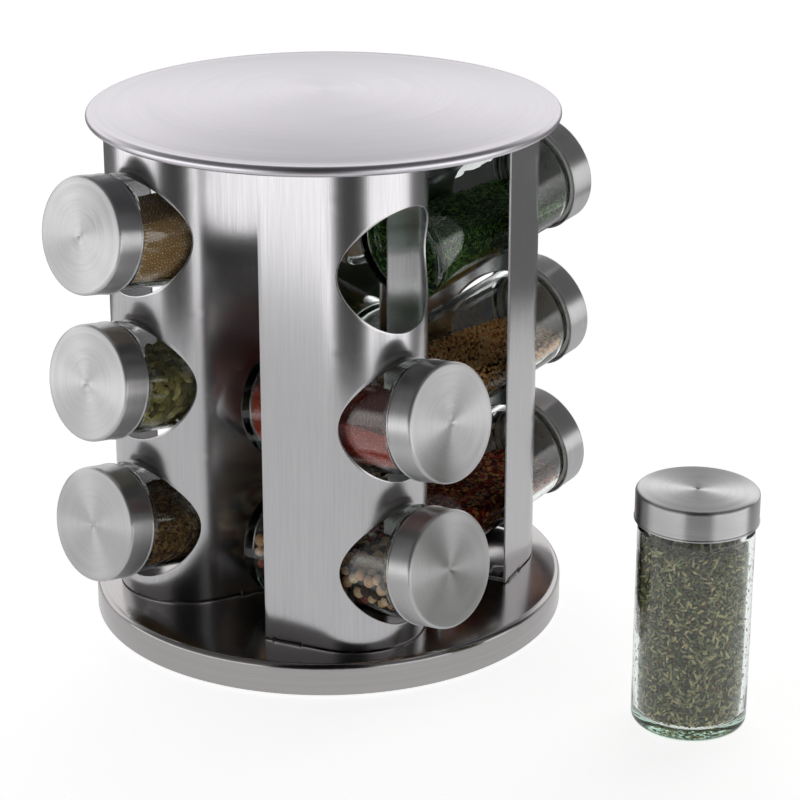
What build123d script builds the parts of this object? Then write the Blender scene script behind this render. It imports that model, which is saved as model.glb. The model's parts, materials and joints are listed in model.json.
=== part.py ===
"""Spice carousel: a turntable rack of four bent steel panels under a domed lid, with twelve spice jars.

Millimetres, +Z up. The origin is on the carousel's turning axis, at the surface it stands on.
Eleven jars lie in the panels' holes, tilted with their caps up. The twelfth stands beside the rack.
"""
import os
from math import cos, radians, sin, sqrt

from build123d import *

# ---- driving dimensions ----
SHEET = 0.8                 # thickness of every pressed steel sheet
GAP = 0.1                   # gap between sheets that are riveted together

TRAY_R = 98.7               # base tray
TRAY_TOP = 15.0
TRAY_SKIRT_Z = 1.5
TRAY_EDGE_R = 2.5
TRAY_LIP = 3.0

LID_R = 95.3                # domed lid with a rolled rim
LID_BOTTOM = 211.6
LID_TOP = 222.0
LID_ROLL_R = 2.0
LID_LIP = 4.3
LID_SHOULDER = 1.7          # how far in from the rim the dome starts
LID_PLATE_R = 93.0

PANEL_SKEW = 2.0            # the panels point this far past the diagonals
PANEL_SHIFT = -34.4         # each panel's centre line passes this far to one side of the turning axis
NOSE_R = 29.2               # rounded front of a panel
NOSE_CENTRE = 48.6
WING_ANGLE = 19.0           # angle of each flat wing to the panel's centre line
WING_LENGTH = 25.9
PANEL_GAP = 0.6             # dark line under a panel's edge
HOLE_R = 24.7               # jar holes
ROW_PITCH = 61.0
HOLE_Z = 48.8               # lowest row

TAB_START = 3.3             # riveted tabs at both ends of each wing
TAB_WIDTH = 12.5
TAB_LENGTH = 11.0
TAB_BEND_R = 1.5

RIVET_R = 1.6
RIVET_HEAD_R = 3.0
RIVET_HEAD = 0.8
RIVET_FIT = 0.1             # clearance round a rivet in its hole

FOOT_RING = (60.0, 68.0)    # turntable, from the table upwards
FOOT_HEIGHT = 2.0
PLATE_R = 71.0
PLATE_BORE_R = 30.0
PLATE_THICK = 1.6
PLATE_WALL = 1.2
PLATE_LIP_R = 66.0
PLATE_LIP_Z = 9.5
BALL_R = 2.5
BALL_RING_R = 58.0
BALLS = 24
BALL_SINK = 0.8             # how deep a ball sits in each race
BALL_FIT = 0.05
RACE_R = 69.2
RACE_HUB_R = 51.0
RACE_HUB_WALL = 1.2
RACE_FLANGE = 2.0
RACE_RIVET_R = 57.0
RACE_RIVETS = 4
RACE_RIVET_TURN = -34.5      # from the panels' direction, so that the rivets come under the noses
RACE_TOP_R = 62.0

JAR_TILT = 9.8              # lying jars: cap end up
CAP_REACH = 100.6           # from the panel's foot point to the centre of a cap's face
CAP_FACE_Z = 54.0           # lowest row
JAR_LENGTH = 96.0
JAR_R = 22.3
JAR_WALL = 2.1
JAR_BASE = 5.0
JAR_BASE_ROUND = 3.0
NECK_U = 83.0               # heights along the jar, from its base
MOUTH_U = 94.0
NECK_R = 19.8
NECK_BORE_R = 17.6
THREAD_R = 20.4
THREAD_U = (87.0, 90.0)     # two plain rings stand for the thread
THREAD_HALF = 0.9           # half a ring's width at its foot, and at its crest
THREAD_CREST = 0.3
CAP_R = 23.5
CAP_HEIGHT = 12.1
CAP_WALL = 0.5
CAP_ROUND = 1.3
LINER_GAP = 0.12
LINER_BORE_R = 20.8
LINER_TOP = 0.4
LINER_INSET = 0.6           # how far the liner stops short of the shell's open end
SIFTER_FLANGE_R = 19.3
SIFTER_THICK = 0.9
SIFTER_PLUG = 6.0
SIFTER_FIT = 0.1
SIFTER_HOLE_R = 1.6
SIFTER_HOLES = 6            # round a middle one
SIFTER_HOLE_RING_R = 8.0
SPICE_GAP = 0.2
SPARE_AT = (142.4, -113.1)  # where the twelfth jar stands
SPARE_FILL_U = 77.0

SIDES = {"front_right": 0, "back_right": 1, "back_left": 2, "front_left": 3}
ROWS = {"bottom": 0, "middle": 1, "top": 2}
EMPTY = ("front_right", "top")
# how far each lying jar's spice stands above the middle of the jar
FILL = {
    ("front_left", "top"): 13.0, ("front_left", "middle"): 10.0, ("front_left", "bottom"): 9.0,
    ("front_right", "middle"): 5.0, ("front_right", "bottom"): 5.0,
    ("back_right", "top"): 2.0, ("back_right", "middle"): 1.0, ("back_right", "bottom"): 0.0,
    ("back_left", "top"): 6.0, ("back_left", "middle"): 3.0, ("back_left", "bottom"): 7.0,
}

# ---- worked-out places ----
PANEL_BOTTOM = TRAY_TOP + PANEL_GAP
LID_PLATE_Z = LID_BOTTOM + SHEET + 0.2
PANEL_TOP = LID_PLATE_Z - 0.3
BALL_Z = FOOT_HEIGHT + PLATE_THICK - BALL_SINK + BALL_R
RACE_Z = BALL_Z + BALL_R - BALL_SINK
JAR_FOOT_REACH = CAP_REACH - JAR_LENGTH * cos(radians(JAR_TILT))


def turned(profile):
    """A solid of revolution about Z from a closed outline of lines and arcs in the XZ plane."""
    return revolve(make_face(profile), Axis.Z)


def section(*points):
    """A closed straight-sided outline in the XZ plane, from (radius, height) pairs."""
    return Polyline(*[(r, 0, z) for r, z in points], close=True)


def xz(r, z):
    return (r, 0, z)


def write(name, shape):
    export_step(shape, f"parts/{name}.step")


# ---- panels ----
def wing_point(radius, along, side):
    """A point on a wing: along it from the end of the nose, at the sheet face of this nose radius."""
    b = radians(WING_ANGLE)
    return (NOSE_CENTRE + radius * sin(b) - along * cos(b), side * (radius * cos(b) + along * sin(b)))


def panel_outline():
    """The bent sheet seen from above: a rounded nose and two flat wings."""
    inner = NOSE_R - SHEET
    return Curve() + [
        Line(wing_point(NOSE_R, WING_LENGTH, -1), wing_point(NOSE_R, 0, -1)),
        ThreePointArc(wing_point(NOSE_R, 0, -1), (NOSE_CENTRE + NOSE_R, 0), wing_point(NOSE_R, 0, 1)),
        Line(wing_point(NOSE_R, 0, 1), wing_point(NOSE_R, WING_LENGTH, 1)),
        Line(wing_point(NOSE_R, WING_LENGTH, 1), wing_point(inner, WING_LENGTH, 1)),
        Line(wing_point(inner, WING_LENGTH, 1), wing_point(inner, 0, 1)),
        ThreePointArc(wing_point(inner, 0, 1), (NOSE_CENTRE + inner, 0), wing_point(inner, 0, -1)),
        Line(wing_point(inner, 0, -1), wing_point(inner, WING_LENGTH, -1)),
        Line(wing_point(inner, WING_LENGTH, -1), wing_point(NOSE_R, WING_LENGTH, -1)),
    ]


def wing_frame(z, along):
    """X points into the panel from the wing's outer face, Y up, Z along the wing towards the nose."""
    b = radians(WING_ANGLE)
    a, l = wing_point(NOSE_R, WING_LENGTH - along, -1)
    return Plane(origin=(a, l, z), x_dir=(-sin(b), cos(b), 0), z_dir=(cos(b), sin(b), 0))


def tab(up):
    """A riveted tab, bent inwards off the wing's end. up is 1 at the tray and -1 at the lid."""
    edge = PANEL_BOTTOM if up > 0 else PANEL_TOP
    face = TRAY_TOP + GAP if up > 0 else LID_PLATE_Z - GAP
    outer, inner = TAB_BEND_R, TAB_BEND_R - SHEET
    frame = wing_frame(face, TAB_START)
    bend = Curve() + [
        Line((0, up * (outer + 1)), (0, up * outer)),
        RadiusArc((0, up * outer), (outer, 0), up * outer),
        Line((outer, 0), (TAB_LENGTH, 0)),
        Line((TAB_LENGTH, 0), (TAB_LENGTH, up * SHEET)),
        Line((TAB_LENGTH, up * SHEET), (outer, up * SHEET)),
        RadiusArc((outer, up * SHEET), (SHEET, up * outer), -up * inner),
        Line((SHEET, up * outer), (SHEET, up * (outer + 1))),
        Line((SHEET, up * (outer + 1)), (0, up * (outer + 1))),
    ]
    solid = extrude(frame * make_face(bend), amount=TAB_WIDTH, dir=frame.z_dir)
    x, y = tab_rivet_place(-1)
    solid -= Pos(x, y, face) * Cylinder(RIVET_R + RIVET_FIT, 6 * SHEET)
    notch = abs(edge - face) + outer
    relief = frame * Pos(0, up * (outer - notch / 2), TAB_WIDTH / 2) * Box(4 * SHEET, notch, TAB_WIDTH)
    return solid, relief


def tab_rivet_place(side):
    """The middle of a tab, from above."""
    b = radians(WING_ANGLE)
    a, l = wing_point(NOSE_R, WING_LENGTH - TAB_START - TAB_WIDTH / 2, side)
    reach = (TAB_LENGTH + TAB_BEND_R) / 2
    return a - reach * sin(b), l - side * reach * cos(b)


def panel():
    sheet = extrude(make_face(panel_outline()), amount=PANEL_TOP - PANEL_BOTTOM)
    sheet = Pos(0, 0, PANEL_BOTTOM) * sheet
    for up in (1, -1):
        solid, relief = tab(up)
        sheet -= relief
        sheet -= mirror(relief, about=Plane.XZ)
        sheet += solid
        sheet += mirror(solid, about=Plane.XZ)
    for row in ROWS.values():
        hole = Pos(NOSE_CENTRE + NOSE_R, 0, HOLE_Z + row * ROW_PITCH) * Rot(0, 90, 0)
        sheet -= hole * Cylinder(HOLE_R, 2 * NOSE_R)
    return sheet


def facing(side):
    """The placement that takes a panel's own frame to one side of the rack."""
    return Rot(0, 0, -45 + PANEL_SKEW + 90 * SIDES[side]) * Pos(0, PANEL_SHIFT, 0)


# ---- lid, tray and turntable ----
def lid_profile(inset):
    """One face of the lid's sheet, from the lip round the rolled rim and over the dome."""
    r, low = LID_R - inset, LID_BOTTOM + inset
    roll = LID_ROLL_R - inset
    middle = LID_BOTTOM + LID_ROLL_R
    shoulder = (LID_R - LID_SHOULDER, middle + LID_ROLL_R - inset)
    top = LID_TOP - inset
    rise = top - shoulder[1]
    dome_r = (shoulder[0] ** 2 + rise ** 2) / (2 * rise)
    half = shoulder[0] / 2
    half_z = top - dome_r + sqrt(dome_r ** 2 - half ** 2)
    corner = sin(radians(45)) * roll
    return Curve() + [
        Line(xz(LID_R - LID_LIP, low), xz(LID_R - LID_ROLL_R, low)),
        ThreePointArc(xz(LID_R - LID_ROLL_R, low), xz(r - roll + corner, middle - corner), xz(r, middle)),
        ThreePointArc(xz(r, middle), xz(r - roll + corner, middle + corner), xz(*shoulder)),
        ThreePointArc(xz(*shoulder), xz(half, half_z), xz(0, top)),
    ]


def lid_cover():
    lip = LID_R - LID_LIP
    ends = [
        Line(xz(lip, LID_BOTTOM), xz(lip, LID_BOTTOM + SHEET)),
        Line(xz(0, LID_TOP), xz(0, LID_TOP - SHEET)),
    ]
    return turned(lid_profile(0) + lid_profile(SHEET) + ends)


def rivet_holes(z, places):
    return [Pos(x, y, z) * Cylinder(RIVET_R + RIVET_FIT, 6 * SHEET) for x, y in places]


def panel_rivet_places():
    places = []
    for side in SIDES:
        for wing in (-1, 1):
            x, y = tab_rivet_place(wing)
            at = facing(side) * Pos(x, y, 0)
            places.append((at.position.X, at.position.Y))
    return places


def race_rivet_places():
    first = PANEL_SKEW - 45 + RACE_RIVET_TURN
    turn = [radians(first + 360 * i / RACE_RIVETS) for i in range(RACE_RIVETS)]
    return [(RACE_RIVET_R * cos(t), RACE_RIVET_R * sin(t)) for t in turn]


def lid_plate():
    plate = Pos(0, 0, LID_PLATE_Z + SHEET / 2) * Cylinder(LID_PLATE_R, SHEET)
    return plate - rivet_holes(LID_PLATE_Z, panel_rivet_places())


def base_tray():
    """An upside-down pan: flat top, rounded edge, straight skirt and a small turned-in lip."""
    r, t, e = TRAY_R, SHEET, TRAY_EDGE_R
    c = sin(radians(45))
    corner_r = r - e + (e - t) * c
    edge_z = TRAY_TOP - e
    profile = Curve() + [
        Line(xz(0, TRAY_TOP), xz(r - e, TRAY_TOP)),
        ThreePointArc(xz(r - e, TRAY_TOP), xz(r - e + e * c, TRAY_TOP - e + e * c), xz(r, TRAY_TOP - e)),
        Line(xz(r, TRAY_TOP - e), xz(r, TRAY_SKIRT_Z)),
        Line(xz(r, TRAY_SKIRT_Z), xz(r - TRAY_LIP, TRAY_SKIRT_Z)),
        Line(xz(r - TRAY_LIP, TRAY_SKIRT_Z), xz(r - TRAY_LIP, TRAY_SKIRT_Z + t)),
        Line(xz(r - TRAY_LIP, TRAY_SKIRT_Z + t), xz(r - t, TRAY_SKIRT_Z + t)),
        Line(xz(r - t, TRAY_SKIRT_Z + t), xz(r - t, TRAY_TOP - e)),
        ThreePointArc(xz(r - t, edge_z), xz(corner_r, TRAY_TOP - r + corner_r), xz(r - e, TRAY_TOP - t)),
        Line(xz(r - e, TRAY_TOP - t), xz(0, TRAY_TOP - t)),
        Line(xz(0, TRAY_TOP - t), xz(0, TRAY_TOP)),
    ]
    return turned(profile) - rivet_holes(TRAY_TOP, panel_rivet_places() + race_rivet_places())


def rivet(z_low, z_high):
    """A rivet with a flat head at each end, holding everything between two heights."""
    shank = Pos(0, 0, (z_low + z_high) / 2) * Cylinder(RIVET_R, z_high - z_low)
    low = Pos(0, 0, z_low - RIVET_HEAD / 2) * Cylinder(RIVET_HEAD_R, RIVET_HEAD)
    high = Pos(0, 0, z_high + RIVET_HEAD / 2) * Cylinder(RIVET_HEAD_R, RIVET_HEAD)
    return shank + low + high


def rivets():
    tray_face = TRAY_TOP - SHEET
    solids = [Pos(x, y, 0) * rivet(tray_face, TRAY_TOP + GAP + SHEET) for x, y in panel_rivet_places()]
    solids += [Pos(x, y, 0) * rivet(tray_face - GAP - SHEET, TRAY_TOP) for x, y in race_rivet_places()]
    lid_face = LID_PLATE_Z - GAP - SHEET
    solids += [Pos(x, y, 0) * rivet(lid_face, LID_PLATE_Z + SHEET) for x, y in panel_rivet_places()]
    return Compound(children=solids)


def ball_groove():
    return Pos(0, 0, BALL_Z) * Torus(BALL_RING_R, BALL_R + BALL_FIT)


def upper_race():
    """Turns with the rack: a running flange on the balls, a hub wall, and a flange riveted to the tray."""
    top = TRAY_TOP - SHEET - GAP
    hub, wall = RACE_HUB_R, RACE_HUB_R + RACE_HUB_WALL
    ring = turned(section(
        (hub, RACE_Z), (RACE_R, RACE_Z), (RACE_R, RACE_Z + RACE_FLANGE), (wall, RACE_Z + RACE_FLANGE),
        (wall, top - SHEET), (RACE_TOP_R, top - SHEET), (RACE_TOP_R, top), (hub, top),
    ))
    return ring - ball_groove() - rivet_holes(top, race_rivet_places())


def turntable_base():
    """Stands still: a plate with the lower race, and an outer wall whose lip keeps the upper race in."""
    low = FOOT_HEIGHT
    floor, lip_top = low + PLATE_THICK, PLATE_LIP_Z + PLATE_WALL
    inner = PLATE_R - PLATE_WALL
    ring = turned(section(
        (PLATE_BORE_R, low), (PLATE_R, low), (PLATE_R, lip_top), (PLATE_LIP_R, lip_top),
        (PLATE_LIP_R, PLATE_LIP_Z), (inner, PLATE_LIP_Z), (inner, floor), (PLATE_BORE_R, floor),
    ))
    return ring - ball_groove()


def foot_ring():
    inner, outer = FOOT_RING
    return turned(section((inner, 0), (outer, 0), (outer, FOOT_HEIGHT), (inner, FOOT_HEIGHT)))


def bearing_balls():
    turn = [radians(360 * i / BALLS) for i in range(BALLS)]
    at = [Pos(BALL_RING_R * cos(t), BALL_RING_R * sin(t), BALL_Z) for t in turn]
    return Compound(children=[place * Sphere(BALL_R) for place in at])


# ---- jars, standing on their base at the origin ----
def jar_outline(inset, low, mouth, neck_r):
    """A jar's wall face, from the axis out over the base, up the body and in to the neck."""
    r, rim = JAR_R - inset, max(JAR_BASE_ROUND - inset / 2, 1.0)
    step = r - neck_r
    shoulder = NECK_U - step
    c = sin(radians(45))
    return Curve() + [
        Line(xz(0, low), xz(r - rim, low)),
        ThreePointArc(xz(r - rim, low), xz(r - rim + rim * c, low + rim - rim * c), xz(r, low + rim)),
        Line(xz(r, low + rim), xz(r, shoulder)),
        ThreePointArc(xz(r, shoulder), xz(neck_r + step * c, shoulder + step * c), xz(neck_r, NECK_U)),
        Line(xz(neck_r, NECK_U), xz(neck_r, mouth)),
    ]


def down_the_axis(r, high, low):
    """Closes a turned outline: across to the axis at its high end, then down to its low end."""
    return [Line(xz(r, high), xz(0, high)), Line(xz(0, high), xz(0, low))]


def cavity(inset):
    """The space inside a jar up to its mouth, drawn in from the glass by a small gap."""
    low, r = JAR_BASE + inset, NECK_BORE_R - inset
    return turned(jar_outline(JAR_WALL + inset, low, MOUTH_U, r) + down_the_axis(r, MOUTH_U, low))


def glass():
    body = turned(jar_outline(0, 0, MOUTH_U, NECK_R) + down_the_axis(NECK_R, MOUTH_U, 0))
    for u in THREAD_U:
        body += turned(section(
            (NECK_BORE_R, u - THREAD_HALF), (NECK_R, u - THREAD_HALF), (THREAD_R, u - THREAD_CREST),
            (THREAD_R, u + THREAD_CREST), (NECK_R, u + THREAD_HALF), (NECK_BORE_R, u + THREAD_HALF),
        ))
    return body - cavity(0)


def sifter():
    """A push-in shaker disc: flange on the mouth, plug skirt in the neck, round holes."""
    plug_r = NECK_BORE_R - SIFTER_FIT
    bore_r = plug_r - SIFTER_THICK
    top = MOUTH_U + SIFTER_THICK
    plug_u = MOUTH_U - SIFTER_PLUG
    body = turned(section(
        (0, MOUTH_U), (bore_r, MOUTH_U), (bore_r, plug_u), (plug_r, plug_u),
        (plug_r, MOUTH_U), (SIFTER_FLANGE_R, MOUTH_U), (SIFTER_FLANGE_R, top), (0, top),
    ))
    drill = Pos(0, 0, MOUTH_U) * Cylinder(SIFTER_HOLE_R, 4 * SIFTER_THICK)
    turns = [Rot(0, 0, 360 * i / SIFTER_HOLES) for i in range(SIFTER_HOLES)]
    return body - drill - [turn * Pos(SIFTER_HOLE_RING_R, 0, 0) * drill for turn in turns]


def cap():
    """A steel shell with a separate plastic liner that screws onto the neck."""
    low, top = JAR_LENGTH - CAP_HEIGHT, JAR_LENGTH
    middle = (low + top) / 2
    shell = Pos(0, 0, middle) * Cylinder(CAP_R, CAP_HEIGHT)
    shell = fillet(shell.edges().group_by(Axis.Z)[-1], CAP_ROUND)
    bore = Pos(0, 0, middle - CAP_WALL) * Cylinder(CAP_R - CAP_WALL, CAP_HEIGHT)
    shell -= fillet(bore.edges().group_by(Axis.Z)[-1], CAP_ROUND - CAP_WALL)
    r, high = CAP_R - CAP_WALL - LINER_GAP, top - CAP_WALL - LINER_GAP
    under, rim = high - LINER_TOP, low + LINER_INSET
    liner = turned(section(
        (0, high), (r - CAP_ROUND, high), (r, high - CAP_ROUND), (r, rim),
        (LINER_BORE_R, rim), (LINER_BORE_R, under), (0, under),
    ))
    return Compound(children=[shell, liner])


def lying(side, row):
    """The placement of a jar in its hole."""
    z = CAP_FACE_Z + ROWS[row] * ROW_PITCH - JAR_LENGTH * sin(radians(JAR_TILT))
    return facing(side) * Pos(JAR_FOOT_REACH, 0, z) * Rot(0, 90 - JAR_TILT, 0)


def spice(at, level):
    """Spice filling a placed jar up to a level height, under the shaker insert."""
    room = at * (cavity(SPICE_GAP) & Pos(0, 0, MOUTH_U - SIFTER_PLUG - SPICE_GAP - JAR_LENGTH) * below())
    return room & Pos(0, 0, level - JAR_LENGTH) * below()


def below():
    """A block two jars high, wider than the rack. Lowered by a jar, it keeps what is under a height."""
    return Box(4 * TRAY_R, 4 * TRAY_R, 2 * JAR_LENGTH)


def lying_level(side, row):
    middle = CAP_FACE_Z + ROWS[row] * ROW_PITCH - JAR_LENGTH / 2 * sin(radians(JAR_TILT))
    return middle + FILL[(side, row)]


def write_jar(name, at, level):
    for part, shape in (("glass", glass()), ("sifter", sifter()), ("cap", cap())):
        write(f"{name}_{part}", at * shape)
    write(f"{name}_spice", spice(at, level))


def main():
    os.makedirs("parts", exist_ok=True)
    write("lid_cover", lid_cover())
    write("lid_plate", lid_plate())
    write("base_tray", base_tray())
    write("rivets", rivets())
    write("upper_race", upper_race())
    write("turntable_base", turntable_base())
    write("foot_ring", foot_ring())
    write("bearing_balls", bearing_balls())
    for side in SIDES:
        write(f"{side}_panel", facing(side) * panel())
        for row in ROWS:
            if (side, row) != EMPTY:
                write_jar(f"{side}_{row}", lying(side, row), lying_level(side, row))
    write_jar("spare", Pos(*SPARE_AT, 0), SPARE_FILL_U)


main()
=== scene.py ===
"""Spice carousel, the visual model: brushed steel rack, glass spice jars and their spices.

The lengths named here are millimetres. Blender's objects are in metres, in the frame's own axes.
"""
import json
from math import asin, atan2, cos, pi, radians, sin, sqrt

import bmesh
import bpy
from mathutils import Matrix, Vector, noise


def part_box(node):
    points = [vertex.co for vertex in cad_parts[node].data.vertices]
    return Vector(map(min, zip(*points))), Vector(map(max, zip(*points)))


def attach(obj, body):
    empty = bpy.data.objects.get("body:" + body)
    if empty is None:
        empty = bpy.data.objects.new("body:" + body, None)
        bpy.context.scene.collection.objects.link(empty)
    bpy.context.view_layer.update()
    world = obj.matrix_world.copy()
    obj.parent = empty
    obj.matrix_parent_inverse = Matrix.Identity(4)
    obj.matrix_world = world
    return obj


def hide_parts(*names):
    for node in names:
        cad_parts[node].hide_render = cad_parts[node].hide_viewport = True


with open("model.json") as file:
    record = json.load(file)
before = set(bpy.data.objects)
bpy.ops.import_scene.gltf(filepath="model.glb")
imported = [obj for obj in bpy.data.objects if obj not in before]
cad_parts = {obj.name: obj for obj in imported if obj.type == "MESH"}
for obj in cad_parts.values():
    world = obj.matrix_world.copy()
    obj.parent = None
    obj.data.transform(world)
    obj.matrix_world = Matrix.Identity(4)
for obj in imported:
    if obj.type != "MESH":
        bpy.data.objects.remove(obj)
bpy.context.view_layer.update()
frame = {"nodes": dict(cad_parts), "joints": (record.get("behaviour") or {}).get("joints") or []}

MM = 0.001
FULL = 2 * pi

# ---- sizes, in millimetres ----
SHEET = 0.8                  # thickness of the pressed steel sheets
PANEL_SHIFT = -34.4          # a panel's centre line passes this far to one side of the turning axis
NOSE_R = 29.2                # rounded front of a panel
NOSE_CENTRE = 48.6
WING = radians(19)           # angle of each flat wing to the panel's centre line
WING_LENGTH = 25.9
HOLE_R = 24.7
HOLE_PITCH = 61.0
HOLE_RISE = 33.2             # lowest hole's middle above the panel's lower edge
TAB_START, TAB_END = 3.3, 15.8   # a riveted tab's reach, from the wing's free edge
TAB_LENGTH = 11.0
TAB_BEND_R = 1.5
TAB_FACE_DROP = 0.5          # the tray tab lies this far below the panel's lower edge
TAB_FACE_RISE = 0.2          # and the lid tab this far above its upper edge
TAB_SLIT = 0.94              # a bent tab's width beside the width that is cut for it
CUT_EASE = 0.12              # rounding of a sheet's cut edges

TRAY_EDGE_R = 2.5
TRAY_LIP = 3.0
TRAY_HEM_R = 0.7
LID_ROLL_R = 2.0
LID_LIP = 4.3
LID_SHOULDER = 1.7
LID_CREASE = 0.25            # depth of the crease between the dome and the rolled rim
LID_CREASE_WIDTH = 2.2

JAR_LENGTH = 96.0
JAR_R, JAR_WALL = 22.3, 2.1
JAR_BASE, JAR_PUNT = 5.0, 1.1
JAR_HEEL_R = 3.0
NECK_U, MOUTH_U = 83.0, 94.0     # heights from the jar's base
NECK_R, NECK_BORE_R = 19.8, 17.6
THREAD_DEPTH, THREAD_PITCH = 0.75, 3.2
THREAD_LOW_U, THREAD_HIGH_U = 85.6, 91.6
THREAD_RUNOUT = 0.8          # the thread fades in and out over this height
THREAD_SHARPNESS = 1.5
CAP_R, CAP_HEIGHT, CAP_WALL = 23.5, 12.1, 0.5
CAP_ROUND = 1.3
CAP_BEAD_R = 0.55            # rolled edge round the cap's open end
CAP_DIMPLE_R, CAP_DIMPLE = 0.9, 0.25
LINER_GAP, LINER_TOP, LINER_INSET = 0.12, 0.4, 0.6
LINER_BORE_R = 20.8
LINER_THREAD = 0.3
LINER_THREAD_FROM, LINER_THREAD_TO = 1.0, 7.5    # the liner's thread, above its lower end
JAR_SPIN = 67                # degrees from one jar's thread start to the next one's

AROUND = 160                 # faces round a lid or a tray
AROUND_JAR = 96              # and round a jar or a cap
HOLE_STEPS = 36              # faces along each side of the square cell round a hole
CELL_RINGS = 8
CELL_CROWDING = 1.3          # over 1, the rings of faces crowd towards the hole


# ---- helpers ----
def linear(code):
    """An sRGB hex colour as linear RGBA."""
    parts = [int(code[i:i + 2], 16) / 255 for i in (0, 2, 4)]
    return tuple(c / 12.92 if c <= 0.04045 else ((c + 0.055) / 1.055) ** 2.4 for c in parts) + (1.0,)


def add(tree, kind, inputs=None, stops=None, **settings):
    """Adds a node. settings are its properties, inputs its values or the sockets that feed them."""
    made = tree.nodes.new(kind)
    for key, value in settings.items():
        setattr(made, key, value)
    for key, value in (inputs or {}).items():
        if isinstance(value, bpy.types.NodeSocket):
            tree.links.new(value, made.inputs[key])
        else:
            made.inputs[key].default_value = value
    if stops:
        ramp = made.color_ramp
        while len(ramp.elements) < len(stops):
            ramp.elements.new(0.5)
        for element, (position, colour) in zip(ramp.elements, stops):
            element.position = position
            element.color = colour
    return made


def grey(value):
    return (value, value, value, 1.0)


def finish_of(name):
    """A new material, its node tree and its shader."""
    made = bpy.data.materials.new(name)
    made.use_nodes = True
    return made, made.node_tree, made.node_tree.nodes["Principled BSDF"]


def arc(r, z, radius, start, end, steps):
    """Points on an arc about (r, z), from one angle in degrees to another."""
    turns = [radians(start + (end - start) * i / steps) for i in range(steps + 1)]
    return [(r + radius * cos(t), z + radius * sin(t)) for t in turns]


def spun(profile, around, ridge=None):
    """Turns (radius, height) pairs, from axis to axis, about Z.

    The brush UVs run along the profile in metres and then round the piece in turns.
    """
    points, rows, run = [], [], 0.0
    for i, (r, z) in enumerate(profile):
        if i:
            run += sqrt((r - profile[i - 1][0]) ** 2 + (z - profile[i - 1][1]) ** 2) * MM
        count = 1 if r == 0 else around
        rows.append((len(points), run, count))
        for k in range(count):
            t = FULL * k / around
            reach = r + (ridge(r, z, t) if ridge else 0)
            points.append((reach * cos(t), reach * sin(t), z))
    faces, uvs = [], []
    for (a, ua, na), (b, ub, nb) in zip(rows, rows[1:]):
        for k in range(around):
            corners = [(a + k % na, (ua, k / around)), (a + (k + 1) % na, (ua, (k + 1) / around)),
                       (b + (k + 1) % nb, (ub, (k + 1) / around)), (b + k % nb, (ub, k / around))]
            if na == 1:
                corners = corners[1:]
            if nb == 1:
                corners = corners[:3]
            faces.append([c[0] for c in corners])
            uvs.append([c[1] for c in corners])
    return points, faces, uvs


def piece(name, shape, materials, place=None, sharp=35, outward=True):
    """A new object from (points, faces, uvs), its place in its mesh."""
    points, faces, uvs = shape
    mesh = bpy.data.meshes.new(name)
    mesh.from_pydata(points, [], faces)
    layer = mesh.uv_layers.new(name="brush")
    flat = [uv for face in uvs for uv in face]
    for loop, uv in zip(layer.data, flat):
        loop.uv = uv
    mesh.transform(place if place else Matrix.Scale(MM, 4))
    made = bpy.data.objects.new(name, mesh)
    bpy.context.scene.collection.objects.link(made)
    for material in materials:
        mesh.materials.append(material)
    if outward:
        tidy(mesh, sharp)
    return made


def tidy(mesh, sharp):
    """Faces point outwards and shade smoothly up to an angle in degrees."""
    work = bmesh.new()
    work.from_mesh(mesh)
    bmesh.ops.recalc_face_normals(work, faces=work.faces)
    work.to_mesh(mesh)
    work.free()
    mesh.shade_smooth()
    mesh.set_sharp_from_angle(angle=radians(sharp))


def merged(mesh):
    """Joins the corners that lie on each other."""
    work = bmesh.new()
    work.from_mesh(mesh)
    bmesh.ops.remove_doubles(work, verts=work.verts, dist=0.005 * MM)
    work.to_mesh(mesh)
    work.free()


def settled(made):
    """Applies the live modifiers to the object's mesh."""
    bpy.context.view_layer.update()
    graph = bpy.context.evaluated_depsgraph_get()
    seen = made.evaluated_get(graph)
    mesh = bpy.data.meshes.new_from_object(seen, preserve_all_data_layers=True, depsgraph=graph)
    made.modifiers.clear()
    made.data = mesh


def joined(name, pieces):
    """One object from several, keeping each one's materials."""
    with bpy.context.temp_override(active_object=pieces[0], selected_editable_objects=pieces):
        bpy.ops.object.join()
    pieces[0].name = name
    pieces[0].data.name = name
    return pieces[0]


def hand_over(made, body, node):
    """Puts a piece in a CAD node's stead, on its body."""
    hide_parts(node)
    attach(made, body)


# ---- finishes ----
STREAK = 0.22                # millimetres between the brush lines, drawn this coarse so that they show
STREAK_RUN = 90              # an upright brush line's length, in spaces between the lines
BROAD_SCALE, BROAD_SHARE = 0.12, 0.25    # the wider bands among the fine lines
BRUSH_BUMP, BRUSH_DEPTH = 0.05, 0.02
ROUGH_SPREAD = 0.15          # the roughness varies by this share from line to line


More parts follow.
